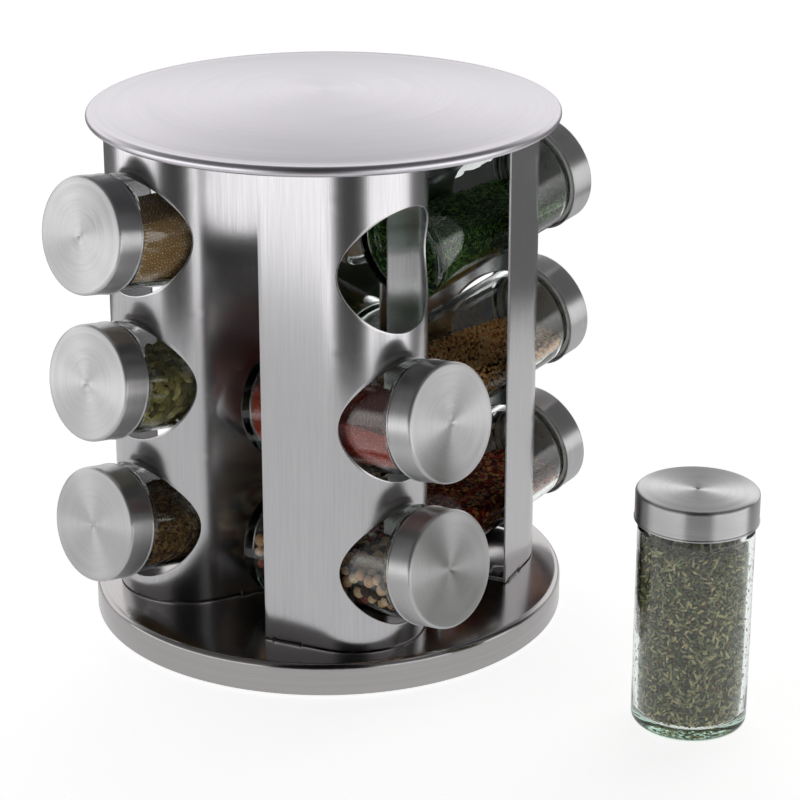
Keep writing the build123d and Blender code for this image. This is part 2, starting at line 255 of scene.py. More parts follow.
def brushed(name, tint, roughness, anisotropy, round_piece, depth):
    """Stainless steel brushed one way: fine lines along the brushing, light that spreads across it."""
    made, tree, shader = finish_of(name)
    close = 1 / (STREAK * MM)
    if round_piece:
        uv = add(tree, "ShaderNodeUVMap", uv_map="brush").outputs["UV"]
        part = add(tree, "ShaderNodeSeparateXYZ", {"Vector": uv}).outputs
        turn = add(tree, "ShaderNodeMath", {0: part["Y"], 1: FULL}, operation="MULTIPLY").outputs[0]
        across = add(tree, "ShaderNodeMath", {0: part["X"], 1: close}, operation="MULTIPLY").outputs[0]
        x = add(tree, "ShaderNodeMath", {0: turn}, operation="COSINE").outputs[0]
        y = add(tree, "ShaderNodeMath", {0: turn}, operation="SINE").outputs[0]
        lines = add(tree, "ShaderNodeCombineXYZ", {"X": across, "Y": x, "Z": y}).outputs[0]
    else:
        spot = add(tree, "ShaderNodeTexCoord").outputs["Object"]
        scale = (close, close, close / STREAK_RUN)
        lines = add(tree, "ShaderNodeMapping", {"Vector": spot, "Scale": scale}).outputs[0]
    fine = add(tree, "ShaderNodeTexNoise", {
        "Vector": lines, "Scale": 1.0, "Detail": 3.0, "Roughness": 0.6}).outputs[0]
    broad = add(tree, "ShaderNodeTexNoise", {
        "Vector": lines, "Scale": BROAD_SCALE, "Detail": 2.0}).outputs[0]
    both = add(tree, "ShaderNodeMix", {0: BROAD_SHARE, 2: fine, 3: broad}, data_type="FLOAT").outputs[0]
    dark = tuple(c * (1 - depth) for c in linear(tint)[:3]) + (1.0,)
    colour = add(tree, "ShaderNodeValToRGB", {"Fac": both}, stops=[(0.35, dark), (0.65, linear(tint))])
    rough = add(tree, "ShaderNodeMapRange", {
        "Value": both, "From Min": 0.3, "From Max": 0.7,
        "To Min": roughness * (1 + ROUGH_SPREAD), "To Max": roughness * (1 - ROUGH_SPREAD)})
    bump = add(tree, "ShaderNodeBump", {
        "Height": both, "Strength": BRUSH_BUMP, "Distance": BRUSH_DEPTH * MM})
    tangent = add(tree, "ShaderNodeTangent", direction_type="UV_MAP", uv_map="brush").outputs[0]
    tree.links.new(colour.outputs["Color"], shader.inputs["Base Color"])
    tree.links.new(rough.outputs["Result"], shader.inputs["Roughness"])
    tree.links.new(bump.outputs["Normal"], shader.inputs["Normal"])
    tree.links.new(tangent, shader.inputs["Tangent"])
    shader.inputs["Metallic"].default_value = 1.0
    shader.inputs["Anisotropic"].default_value = anisotropy
    return made


def plain(name, tint, roughness, metallic=0.0, grain=0.4, bump=0.05):
    """A moulded or mill finish: an even colour with a faint grain of this many millimetres."""
    made, tree, shader = finish_of(name)
    spot = add(tree, "ShaderNodeTexCoord").outputs["Object"]
    mottle = add(tree, "ShaderNodeTexNoise", {
        "Vector": spot, "Scale": 1 / (grain * MM), "Detail": 3.0}).outputs[0]
    dark = tuple(c * 0.85 for c in linear(tint)[:3]) + (1.0,)
    colour = add(tree, "ShaderNodeValToRGB", {"Fac": mottle}, stops=[(0.3, dark), (0.7, linear(tint))])
    rough = add(tree, "ShaderNodeMapRange", {
        "Value": mottle, "To Min": roughness * 0.8, "To Max": roughness * 1.2})
    relief = add(tree, "ShaderNodeBump", {"Height": mottle, "Strength": bump, "Distance": 0.05 * MM})
    tree.links.new(colour.outputs["Color"], shader.inputs["Base Color"])
    tree.links.new(rough.outputs["Result"], shader.inputs["Roughness"])
    tree.links.new(relief.outputs["Normal"], shader.inputs["Normal"])
    shader.inputs["Metallic"].default_value = metallic
    return made


GLASS_TINT, GLASS_DENSITY = "b5d8c8", 38.0
GLASS_WAVES = 110.0          # waves in the pressed surface, per metre


def soda_lime_glass():
    """Pressed soda-lime glass: clear, faintly wavy, green where the light passes through its thick base."""
    made, tree, shader = finish_of("soda_lime_glass")
    spot = add(tree, "ShaderNodeTexCoord").outputs["Object"]
    wave = add(tree, "ShaderNodeTexNoise", {"Vector": spot, "Scale": GLASS_WAVES, "Detail": 1.0}).outputs[0]
    relief = add(tree, "ShaderNodeBump", {"Height": wave, "Strength": 0.08, "Distance": 0.6 * MM})
    tree.links.new(relief.outputs["Normal"], shader.inputs["Normal"])
    shader.inputs["Base Color"].default_value = (1.0, 1.0, 1.0, 1.0)
    shader.inputs["Transmission Weight"].default_value = 1.0
    shader.inputs["Roughness"].default_value = 0.0
    shader.inputs["IOR"].default_value = 1.5
    depth = add(tree, "ShaderNodeVolumeAbsorption", {
        "Color": linear(GLASS_TINT), "Density": GLASS_DENSITY})
    tree.links.new(depth.outputs[0], tree.nodes["Material Output"].inputs["Volume"])
    return made


DRIED_ROUGHNESS = 0.7
MOTTLE_AND_PAINTED_LIGHT = (1.05, 2.05)        # the mottle's darkest and lightest, beside the grain's own shade: both are above 1, so besides a random mottle this is painted light that lifts every grain above its own colour


def dried(name, colours, mottle, hard_edges):
    """A dried spice: each grain has its own shade, from its tint, and a fine mottle over it that also
    brightens it all as painted light.
    """
    made, tree, shader = finish_of(name)
    tint = add(tree, "ShaderNodeAttribute", attribute_name="tint").outputs["Fac"]
    count = len(colours)
    stops = [(i / count if hard_edges else i / (count - 1), linear(code)) for i, code in enumerate(colours)]
    shade = add(tree, "ShaderNodeValToRGB", {"Fac": tint}, stops=stops)
    shade.color_ramp.interpolation = "CONSTANT" if hard_edges else "LINEAR"
    spot = add(tree, "ShaderNodeTexCoord").outputs["Object"]
    fine = add(tree, "ShaderNodeTexNoise", {
        "Vector": spot, "Scale": 1 / (mottle * MM), "Detail": 4.0, "Roughness": 0.65}).outputs[0]
    # painted light: every grain comes out 1.05 to 2.05 times as bright as its own colour, standing in for
    # light that hardly reaches the spices inside the glass
    mottle_and_light = add(tree, "ShaderNodeMapRange", {
        "Value": fine, "From Min": 0.3, "From Max": 0.7,
        "To Min": MOTTLE_AND_PAINTED_LIGHT[0], "To Max": MOTTLE_AND_PAINTED_LIGHT[1]}).outputs[0]
    colour = add(tree, "ShaderNodeVectorMath", {0: shade.outputs["Color"], 1: mottle_and_light}, operation="MULTIPLY")
    relief = add(tree, "ShaderNodeBump", {"Height": fine, "Strength": 0.5, "Distance": mottle * 0.3 * MM})
    tree.links.new(colour.outputs[0], shader.inputs["Base Color"])
    tree.links.new(relief.outputs["Normal"], shader.inputs["Normal"])
    shader.inputs["Roughness"].default_value = DRIED_ROUGHNESS
    return made


# long upright brush lines: reflections smear sideways, and the bends show as soft dark and bright bands
panel_steel = brushed("stainless_brushed_upright", "c7c6c8", 0.20, 0.7, False, 0.14)
# fine spun satin, the palest and dullest: an even sheen with hardly a line in it
lid_steel = brushed("stainless_spun_lid", "dad7dd", 0.38, 0.15, True, 0.04)
# spun satin rubbed nearly bright: rings round the axis, the panels mirrored darkly in it
tray_steel = brushed("stainless_spun_tray", "b3b0b0", 0.17, 0.6, True, 0.12)
# turned satin: fine rings that spread the light into wedges round the cap's middle
cap_steel = brushed("stainless_spun_cap", "c8c8c9", 0.36, 0.94, True, 0.12)
# sheared stainless edge, deburred: metal that really reflects, but its near-white colour, brighter than the
# brushed faces, is a painted highlight for the glint along the cut edges
edge_steel_with_painted_glint = plain("stainless_sheared_edge_painted_glint", "fafafc", 0.5, 1.0, grain=0.5)
# cold-rolled stainless as it left the mill: even and dull
mill_steel = plain("stainless_mill_finish", "a9a9ad", 0.38, 1.0, grain=1.5)
# zinc plating over steel: slightly bluish
rivet_steel = plain("zinc_plated_rivet", "b4b6ba", 0.32, 1.0, grain=0.8)
# hardened bearing steel, polished
ball_steel = plain("polished_bearing_steel", "d8d8da", 0.08, 1.0, grain=2.0, bump=0.01)
# moulded acetal: near black, a slight waxy gloss
acetal = plain("black_acetal_moulded", "17171a", 0.42, grain=0.5)
# moulded rubber: matt black
rubber = plain("nitrile_rubber_moulded", "1c1c1d", 0.75, grain=0.6, bump=0.2)
# moulded polypropylene: milky white
polypropylene = plain("white_polypropylene_moulded", "eeeeea", 0.4, grain=0.6)
# pressed soda-lime glass: clear, with a green cast in the thick base
glass = soda_lime_glass()


# ---- lid and tray ----
def centred_box(node):
    """Radius, lowest and highest point of a CAD node that is round about Z, in millimetres."""
    low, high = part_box(node)
    return high.x / MM, low.z / MM, high.z / MM


def lid_profile(radius, low, high):
    """The domed lid's section: the dome, the crease, the rolled rim, its lip and the inside."""
    roll_z = low + LID_ROLL_R
    inner_roll = LID_ROLL_R - SHEET
    dome_edge = radius - LID_SHOULDER - LID_CREASE_WIDTH
    edge_z = roll_z + LID_ROLL_R - LID_CREASE
    rise = high - edge_z
    dome_r = (dome_edge ** 2 + rise ** 2) / (2 * rise)
    steps = 28

    def dome(inset, reverse):
        points = []
        for i in range(steps + 1):
            r = dome_edge * i / steps
            points.append((r, high - dome_r + sqrt(dome_r ** 2 - r ** 2) - inset))
        return points[::-1] if reverse else points

    outer = arc(radius - LID_ROLL_R, roll_z, LID_ROLL_R, 104, -90, 20)
    inner = arc(radius - LID_ROLL_R, roll_z, inner_roll, -90, 104, 12)
    lip = [(radius - LID_LIP, low), (radius - LID_LIP, low + SHEET)]
    return dome(0, False) + outer + lip + inner + dome(SHEET, True)


def tray_profile(radius, low, high):
    """The upside-down pan's section: flat top, rounded edge, side, hem, lip and the inside."""
    edge, t = TRAY_EDGE_R, SHEET
    flat = [(r, high) for r in (0, 12, 30, 50, 70, 85)]
    outer = flat + arc(radius - edge, high - edge, edge, 90, 0, 8)
    hem = arc(radius - TRAY_HEM_R, low + TRAY_HEM_R, TRAY_HEM_R, 0, -90, 5)
    lip = [(radius - TRAY_LIP, low), (radius - TRAY_LIP, low + t), (radius - t, low + t)]
    inner = arc(radius - edge, high - edge, edge - t, 0, 90, 6)
    return outer + hem + lip + inner + [(r, high - t) for r in (50, 0)]


lid = piece("lid", spun(lid_profile(*centred_box("lid_cover")), AROUND), [lid_steel])
hand_over(lid, "rack", "lid_cover")
tray = piece("tray", spun(tray_profile(*centred_box("base_tray")), AROUND), [tray_steel])
hand_over(tray, "rack", "base_tray")


# ---- panels ----
NOSE_HALF = NOSE_R * (pi / 2 - WING)     # along the sheet, from the nose's tip to where a wing starts


def bent(s):
    """Where the outer face of the sheet is, seen from above, this far along it from the nose's tip."""
    side = 1 if s > 0 else -1
    if abs(s) <= NOSE_HALF:
        return Vector((NOSE_CENTRE + NOSE_R * cos(s / NOSE_R), NOSE_R * sin(s / NOSE_R)))
    along = abs(s) - NOSE_HALF
    a = NOSE_CENTRE + NOSE_R * sin(WING) - along * cos(WING)
    return Vector((a, side * (NOSE_R * cos(WING) + along * sin(WING))))


class SheetGrid:
    """Faces of a bent sheet, sharing corners where they meet, with the flat sheet as their UVs."""

    def __init__(self):
        self.index, self.points, self.faces, self.uvs = {}, [], [], []

    def corner(self, s, z, place):
        key = tuple(round(c, 4) for c in place)
        if key not in self.index:
            self.index[key] = len(self.points)
            self.points.append(place)
        return self.index[key], (s * MM, z * MM)

    def quads(self, rows):
        """Faces between rows of (s, z, place) triples."""
        for low, high in zip(rows, rows[1:]):
            for k in range(len(low) - 1):
                corners = [self.corner(*p) for p in (low[k], low[k + 1], high[k + 1], high[k])]
                self.faces.append([c[0] for c in corners])
                self.uvs.append([c[1] for c in corners])


def on_sheet(s, z):
    """The (s, z, place) triple of a point of the sheet."""
    place = bent(s)
    return s, z, (place.x, place.y, z)


def hole_cell(grid, z_middle):
    """The square cell of sheet round one hole, from the hole's edge to the cell's edge."""
    half_z = HOLE_PITCH / 2
    n = HOLE_STEPS
    edge = [(-NOSE_HALF + 2 * NOSE_HALF * i / n, half_z) for i in range(n)]
    edge += [(NOSE_HALF, half_z - HOLE_PITCH * i / n) for i in range(n)]
    edge += [(NOSE_HALF - 2 * NOSE_HALF * i / n, -half_z) for i in range(n)]
    edge += [(-NOSE_HALF, -half_z + HOLE_PITCH * i / n) for i in range(n)]
    rings = []
    for ring in range(CELL_RINGS + 1):
        share = (ring / CELL_RINGS) ** CELL_CROWDING
        row = []
        for k, (s_edge, z_edge) in enumerate(edge):
            turn = radians(135) - FULL * k / len(edge)
            s_hole = NOSE_R * asin(HOLE_R * cos(turn) / NOSE_R)
            z_hole = HOLE_R * sin(turn)
            s = s_hole + (s_edge - s_hole) * share
            z = z_middle + z_hole + (z_edge - z_hole) * share
            row.append(on_sheet(s, z))
        rings.append(row + row[:1])
    grid.quads(rings)


def tab_strip(grid, side, columns, edge_z, face_z, up):
    """A riveted tab: the sheet bends inwards off the wing's end and lies flat on the tray or lid plate."""
    inward = Vector((-sin(WING), -side * cos(WING)))
    middle = (columns[0] + columns[-1]) / 2
    rows = [[on_sheet(s, edge_z) for s in columns]]
    turns = [radians(15 * i) for i in range(1, 7)]
    bend = [(TAB_BEND_R * (1 - cos(t)), TAB_BEND_R * (1 - sin(t))) for t in turns]
    flat = [(x, 0) for x in (4.0, 7.0, TAB_LENGTH)]
    for x, rise in bend + flat:
        row = []
        for s in columns:
            shown = middle + (s - middle) * TAB_SLIT
            place = bent(shown) + inward * x
            row.append((s, face_z - up * x, (place.x, place.y, face_z + up * rise)))
        rows.append(row)
    grid.quads(rows)


def panel_sheet(low, high):
    """One bent panel's outer face in its own frame: nose towards +X, three holes, wings and tabs."""
    grid = SheetGrid()
    first = low + HOLE_RISE
    cell_low = first - HOLE_PITCH / 2
    cell_high = cell_low + 3 * HOLE_PITCH
    nose = [-NOSE_HALF + 2 * NOSE_HALF * i / HOLE_STEPS for i in range(HOLE_STEPS + 1)]
    for row in range(3):
        hole_cell(grid, first + row * HOLE_PITCH)
    bend_low, bend_high = low - TAB_FACE_DROP + TAB_BEND_R, high + TAB_FACE_RISE - TAB_BEND_R
    upper = [cell_high + (bend_high - cell_high) * i / 4 for i in range(5)]
    for strip in ([low, bend_low, cell_low], upper + [high]):
        grid.quads([[on_sheet(s, z) for s in nose] for z in strip])
    heights = [cell_low + HOLE_PITCH * i / HOLE_STEPS for i in range(3 * HOLE_STEPS + 1)]
    tab = [NOSE_HALF + WING_LENGTH - TAB_END + (TAB_END - TAB_START) * i / 4 for i in range(5)]
    near = [NOSE_HALF + (tab[0] - NOSE_HALF) * i / 3 for i in range(4)]
    far = [tab[-1], tab[-1] + TAB_START / 2, tab[-1] + TAB_START]
    whole = [low, bend_low] + heights + upper[1:] + [high]
    for side in (-1, 1):
        for columns, rows in ((near, whole), (tab, whole[1:-1]), (far, whole)):
            span = [side * s for s in columns]
            if side < 0:
                span = span[::-1]
            grid.quads([[on_sheet(s, z) for s in span] for z in rows])
        tabs = [side * s for s in tab]
        tab_strip(grid, side, tabs, bend_low, low - TAB_FACE_DROP, 1)
        tab_strip(grid, side, tabs, bend_high, high + TAB_FACE_RISE, -1)
    return grid.points, grid.faces, grid.uvs


def travel(joint_name):
    """The direction in which a joint travels."""
    joint = next(j for j in frame["joints"] if j["name"] == joint_name)
    return Vector(joint["axis"]).normalized()


def panel(side):
    """A whole panel: its outer face, thickened inwards, with its cut edges eased."""
    node = f"{side}_panel"
    axis = travel(f"{side}_middle_jar_slide")
    low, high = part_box(node)
    lower, upper = low.z / MM + TAB_FACE_DROP, high.z / MM - TAB_FACE_RISE
    place = Matrix.Rotation(atan2(axis.y, axis.x), 4, "Z") @ Matrix.Scale(MM, 4)
    place = place @ Matrix.Translation((0, PANEL_SHIFT, 0))
    made = piece(f"panel_{side}", panel_sheet(lower, upper), [panel_steel, edge_steel_with_painted_glint], place, outward=False)
    merged(made.data)
    made.data.shade_smooth()
    wall = made.modifiers.new("sheet", "SOLIDIFY")
    wall.thickness = SHEET * MM
    wall.offset = -1
    # the cut rims take the edge steel, whose near-white colour is a painted highlight
    wall.material_offset_rim = 1
    ease = made.modifiers.new("deburred", "BEVEL")
    ease.width = CUT_EASE * MM
    ease.segments = 2
    ease.limit_method = "ANGLE"
    ease.angle_limit = radians(50)
    settled(made)
    made.data.set_sharp_from_angle(angle=radians(40))
    hand_over(made, "rack", node)


for side_name in ("front_right", "back_right", "back_left", "front_left"):
    panel(side_name)


# ---- jars ----
def thread(depth, low, high):
    """A screw thread's ridge height over a turned neck, with run-outs at both ends."""
    def ridge(r, z, turn):
        if not low <= z <= high:
            return 0.0
        phase = (z - low) / THREAD_PITCH - turn / FULL
        shape = max(0.0, cos(FULL * phase)) ** THREAD_SHARPNESS
        ends = min(1.0, (z - low) / THREAD_RUNOUT, (high - z) / THREAD_RUNOUT)
        return depth * shape * ends
    return ridge


def jar_profile():
    """The glass from the middle of its base, round the outside, over the mouth and down the inside."""
    step = JAR_R - NECK_R
    inner_r = JAR_R - JAR_WALL
    inner_step = inner_r - NECK_BORE_R
    punt = [(0, JAR_PUNT), (7, JAR_PUNT * 0.95), (13, JAR_PUNT * 0.6), (17, 0.15), (18, 0)]
    heel = arc(JAR_R - JAR_HEEL_R, JAR_HEEL_R, JAR_HEEL_R, -90, 0, 8)
    body = [(JAR_R, u) for u in (20, 40, 60)]
    shoulder = arc(NECK_R, NECK_U - step, step, 0, 80, 8)
    neck = [(NECK_R, THREAD_LOW_U - 0.6 + 0.35 * i) for i in range(20)]
    mouth = arc(NECK_R - 1.0, MOUTH_U - 1.0, 1.0, 0, 90, 4)
    mouth += arc(NECK_BORE_R + 0.6, MOUTH_U - 0.6, 0.6, 90, 180, 3)
    throat = [(NECK_BORE_R, u) for u in (90, 86)]
    inner_shoulder = arc(NECK_BORE_R, NECK_U - inner_step, inner_step, 80, 0, 8)
    inside = [(inner_r, u) for u in (60, 40, 20)]
    floor = arc(inner_r - 1.9, JAR_BASE + 1.9, 1.9, 0, -90, 6) + [(8, JAR_BASE + 0.35), (0, JAR_BASE + 0.5)]
    return punt + heel + body + shoulder + neck + mouth + throat + inner_shoulder + inside + floor


def cap_profile():
    """The cap's steel shell: dimpled face, rounded edge, side, rolled bead and the inside."""
    low, top = JAR_LENGTH - CAP_HEIGHT, JAR_LENGTH
    dimple = [(0, top - CAP_DIMPLE), (CAP_DIMPLE_R * 0.6, top - CAP_DIMPLE * 0.7), (CAP_DIMPLE_R, top)]
    face = [(r, top) for r in (3, 7, 12, 17, 21)]
    side = [(CAP_R, low + 6), (CAP_R, low + 1.6)]
    edge = arc(CAP_R - CAP_ROUND, top - CAP_ROUND, CAP_ROUND, 90, 0, 8)
    bead = arc(CAP_R - 0.25, low + CAP_BEAD_R, CAP_BEAD_R, 62, -180, 14)
    inner_r = CAP_R - CAP_WALL
    inside = [(inner_r, low + 2 * CAP_BEAD_R)]
    inside += arc(CAP_R - CAP_ROUND, top - CAP_ROUND, CAP_ROUND - CAP_WALL, 0, 90, 5)
    return dimple + face + edge + side + bead + inside + [(0, top - CAP_WALL)]


def liner_profile():
    """The plastic liner inside the cap: a disc and a threaded skirt."""
    high, low = JAR_LENGTH - CAP_WALL - LINER_GAP, JAR_LENGTH - CAP_HEIGHT + LINER_INSET
    r = CAP_R - CAP_WALL - LINER_GAP - 0.1
    under = high - LINER_TOP
    outside = [(0, high), (r - CAP_ROUND, high), (r, high - CAP_ROUND), (r, low + 0.8), (r - 0.5, low)]
    bore = [(LINER_BORE_R, low + (under - 0.4 - low) * i / 26) for i in range(27)]
    return outside + bore + [(LINER_BORE_R - 0.5, under), (0, under)]


def base_of(node, axis):
    """The middle of a round CAD node's flat end, at the low side of its axis."""
    points = [v.co for v in frame["nodes"][node].data.vertices]
    depth = min(p.dot(axis) for p in points)
    rim = [p for p in points if p.dot(axis) < depth + 0.02 * MM]
    return Vector([(min(p[i] for p in rim) + max(p[i] for p in rim)) / 2 for i in range(3)])


def jar_place(jar, axis, spin):
    """The matrix that takes a jar standing at the origin to its place."""
    facing = axis.to_track_quat("Z", "Y").to_matrix().to_4x4()
    turn = Matrix.Rotation(spin, 4, "Z")
    return Matrix.Translation(base_of(f"{jar}_glass", axis)) @ facing @ turn @ Matrix.Scale(MM, 4)


# ---- spices ----
# size is a grain's length, width and thickness; gap is the least distance between grains' middles
SPICES = {
    "front_left_top": dict(
        name="ground_ginger", colours=("9a7c54", "cdb086", "e2cda6"), core="b08a58",
        size=(0.75, 0.6, 0.5), gap=1.15, mottle=0.5, heap=0.6),
    "front_left_middle": dict(
        name="cardamom_pods", colours=("4a4426", "7f7a48", "b3ac72", "5e4f2c"), core="1d180d",
        size=(10.5, 4.6, 4.0), gap=3.4, mottle=1.2, heap=2.0, sides=2),
    "front_left_bottom": dict(
        name="caraway_seeds", colours=("3a2816", "6e5230", "9a7a4a", "4e3a22"), core="2b1d0f",
        size=(4.6, 1.2, 1.1), gap=1.0, mottle=0.6, heap=1.2),
    "front_right_middle": dict(
        name="ground_paprika", colours=("8a200e", "c63c1c", "e0633a"), core="a8331b",
        size=(0.7, 0.6, 0.5), gap=1.15, mottle=0.45, heap=0.6),
    "front_right_bottom": dict(
        name="mixed_peppercorns", core="120e0a",
        colours=("c8ab86", "2a2019", "b98e66", "d3bd9c", "3a2c20", "8c3a2a", "c4a27c"),
        size=(4.9, 4.7, 4.6), gap=4.3, mottle=0.9, heap=1.5, sides=2, hard=True),
    "back_right_top": dict(
        name="dried_dill", colours=("16300d", "2c5319", "4b7a2c", "6f9645"), core="142a0c",
        size=(3.8, 0.8, 0.4), gap=0.95, mottle=0.6, heap=1.5),
    "back_right_middle": dict(
        name="mustard_seeds", colours=("c48a4a", "e2ae6a", "efc88e", "d59e5c"), core="6d4520",
        size=(2.05, 2.0, 1.95), gap=1.8, mottle=0.8, heap=0.8),
    "back_right_bottom": dict(
        name="chilli_flakes", colours=("4a0f08", "8a1c0e", "b3361a", "d7a45c", "6a140a"), core="3a0b06",
        size=(3.0, 2.3, 0.6), gap=1.4, mottle=0.9, heap=1.5),
    "back_left_top": dict(
        name="ground_turmeric", colours=("a0670c", "cc8c1a", "e3ab41"), core="c58418",
        size=(0.7, 0.6, 0.5), gap=1.15, mottle=0.45, heap=0.6),
    "back_left_middle": dict(
        name="dried_parsley", colours=("22361a", "3c5a26", "698046", "2c4420"), core="1a2912",
        size=(2.8, 2.0, 0.35), gap=1.1, mottle=0.8, heap=1.5),
    "back_left_bottom": dict(
        name="coriander_seeds", colours=("7c6334", "b0905a", "cdae7e"), core="3c2d16",
        size=(3.7, 3.6, 3.6), gap=3.2, mottle=0.9, heap=1.2, sides=2),
    "spare": dict(
        name="mixed_herbs", colours=("3b4226", "6e7650", "8f9468", "c4bb8e", "5f5232", "505c38"),
        core="34351f", size=(4.4, 1.3, 0.4), gap=1.15, mottle=1.1, heap=0.8),
}
CORE_VOXEL = 1.3
GLASS_GAP = 0.15             # between the outermost grains and the glass
UPWARD = 0.6                 # a face of the heap counts as its top from this slope on
HEAP_WAVES = 0.12            # unevenness of a heap's top, in waves per millimetre
DENSEST = 6.0e6              # grains on a square metre before the least gap thins them out
GRAIN_SCALE = (0.75, 1.15)
GRAIN_LEAN = 0.5             # how far a grain leans out of the surface, in radians
SHADE_SEED = 7


def grain_tree(name):
    """A Geometry Nodes tree that lays one kind of grain all over a surface."""
    tree = bpy.data.node_groups.new(name, "GeometryNodeTree")
    sockets = {
        "Spice": "NodeSocketGeometry", "Least Gap": "NodeSocketFloat", "Grain Size": "NodeSocketVector",
        "Sides": "NodeSocketInt", "Seed": "NodeSocketInt", "Finish": "NodeSocketMaterial",
    }
    for label, kind in sockets.items():
        tree.interface.new_socket(name=label, in_out="INPUT", socket_type=kind)
    tree.interface.new_socket(name="Spice", in_out="OUTPUT", socket_type="NodeSocketGeometry")
    given = tree.nodes.new("NodeGroupInput").outputs
    seed = given["Seed"]
    spots = add(tree, "GeometryNodeDistributePointsOnFaces", {
        "Mesh": given["Spice"], "Distance Min": given["Least Gap"], "Density Max": DENSEST,
        "Seed": seed}, distribute_method="POISSON").outputs
    ball = add(tree, "GeometryNodeMeshIcoSphere", {"Radius": 0.5, "Subdivisions": given["Sides"]})
    grain = add(tree, "GeometryNodeSetShadeSmooth", {"Geometry": ball.outputs["Mesh"]}).outputs[0]
    lean = add(tree, "FunctionNodeRandomValue", {
        0: (-GRAIN_LEAN, -GRAIN_LEAN, 0.0), 1: (GRAIN_LEAN, GRAIN_LEAN, FULL), "Seed": seed},
        data_type="FLOAT_VECTOR").outputs[0]
    tilt = add(tree, "FunctionNodeEulerToRotation", {"Euler": lean}).outputs[0]
    way = add(tree, "FunctionNodeRotateRotation", {
        "Rotation": spots["Rotation"], "Rotate By": tilt}, rotation_space="LOCAL").outputs[0]
    vary = add(tree, "FunctionNodeRandomValue", {
        2: GRAIN_SCALE[0], 3: GRAIN_SCALE[1], "Seed": seed}, data_type="FLOAT").outputs[1]
    size = add(tree, "ShaderNodeVectorMath", {
        0: given["Grain Size"], 1: vary}, operation="MULTIPLY").outputs[0]
    laid = add(tree, "GeometryNodeInstanceOnPoints", {
        "Points": spots["Points"], "Instance": grain, "Rotation": way, "Scale": size}).outputs[0]
    shade = add(tree, "FunctionNodeRandomValue", {
        2: 0.0, 3: 1.0, "Seed": SHADE_SEED}, data_type="FLOAT").outputs[1]
    tinted = add(tree, "GeometryNodeStoreNamedAttribute", {
        "Geometry": laid, "Name": "tint", "Value": shade}, data_type="FLOAT", domain="INSTANCE").outputs[0]
    real = add(tree, "GeometryNodeRealizeInstances", {"Geometry": tinted}).outputs[0]
    dressed = add(tree, "GeometryNodeSetMaterial", {
        "Geometry": real, "Material": given["Finish"]}).outputs[0]
    both = add(tree, "GeometryNodeJoinGeometry")
    tree.links.new(dressed, both.inputs[0])
    tree.links.new(given["Spice"], both.inputs[0])
    out = tree.nodes.new("NodeGroupOutput")
    tree.links.new(both.outputs[0], out.inputs[0])
    return tree


GRAINS = grain_tree("grains_on_a_heap")


def spice_core(node, grain, heap, finish):
    """The heap under the grains: the CAD node's shape, drawn in by half a grain and left uneven on top."""
    source = bpy.data.objects.new(node + "_core", frame["nodes"][node].data.copy())
    bpy.context.scene.collection.objects.link(source)
    merged(source.data)
    skin = source.modifiers.new("even faces", "REMESH")
    skin.mode = "VOXEL"
    skin.voxel_size = CORE_VOXEL * MM
    settled(source)
    mesh = source.data
    inset = (grain / 2 + GLASS_GAP) * MM
    normals = [v.normal.copy() for v in mesh.vertices]
    for v, n in zip(mesh.vertices, normals):
        uneven = 0.0
        if n.z > UPWARD:
            uneven = heap * MM * (0.5 + 0.5 * noise.noise(v.co * (HEAP_WAVES / MM)))
        v.co -= n * (inset + uneven)
    mesh.materials.clear()
    mesh.materials.append(finish)
    mesh.shade_smooth()
    return source


def spice(jar_name, seed):
    """One jar's spice: a heap with its grains laid over it."""
    row = SPICES[jar_name]
    finish = dried(row["name"], row["colours"], row["mottle"], row.get("hard", False))
    under = plain(row["name"] + "_in_shade", row["core"], 0.9, grain=row["mottle"], bump=0.6)
    made = spice_core(f"{jar_name}_spice", min(row["size"][1:]), row["heap"], under)
    made.name = row["name"]
    lay = made.modifiers.new("grains", "NODES")
    lay.node_group = GRAINS
    values = {"Least Gap": row["gap"] * MM, "Grain Size": [s * MM for s in row["size"]],
              "Sides": row.get("sides", 1), "Seed": seed, "Finish": finish}
    for item in GRAINS.interface.items_tree:
        if item.in_out == "INPUT" and item.name in values:
            lay[item.identifier] = values[item.name]
    settled(made)
    return made


def jar(name, joint_name, index):
    """A jar with its cap and its spice, on the bodies that are named after it."""
    axis = travel(joint_name)
    place = jar_place(name, axis, radians(JAR_SPIN * index))
    neck_thread = thread(THREAD_DEPTH, THREAD_LOW_U, THREAD_HIGH_U)
    vessel = piece(f"{name}_jar_glass", spun(jar_profile(), AROUND_JAR, neck_thread), [glass], place, 50)
    body = f"{name}_jar"
    hand_over(vessel, body, f"{name}_glass")
    low = JAR_LENGTH - CAP_HEIGHT + LINER_INSET
    liner_thread = thread(-LINER_THREAD, low + LINER_THREAD_FROM, low + LINER_THREAD_TO)
    shell = piece(f"{name}_cap_shell", spun(cap_profile(), AROUND_JAR), [cap_steel], place)
    liner_shape = spun(liner_profile(), AROUND_JAR, liner_thread)
    liner = piece(f"{name}_cap_liner", liner_shape, [polypropylene], place)
    top = joined(f"{name}_screw_cap", [shell, liner])
    hand_over(top, f"{name}_cap", f"{name}_cap")
    filling = spice(name, index + 1)
    hand_over(filling, body, f"{name}_spice")


for number, key in enumerate(SPICES):
    jar(key, "spare_jar_lift" if key == "spare" else f"{key}_jar_slide", number)


# ---- CAD nodes whose shape stays ----
KEPT = {
    "lid_plate": mill_steel, "rivets": rivet_steel, "bearing_balls": ball_steel, "upper_race": acetal,
    "turntable_base": acetal, "foot_ring": rubber,
}
for key, finish in KEPT.items():
    frame["nodes"][key].data.materials.clear()
    frame["nodes"][key].data.materials.append(finish)
for key in SPICES:
    sifter = frame["nodes"][f"{key}_sifter"].data
    sifter.materials.clear()
    sifter.materials.append(polypropylene)


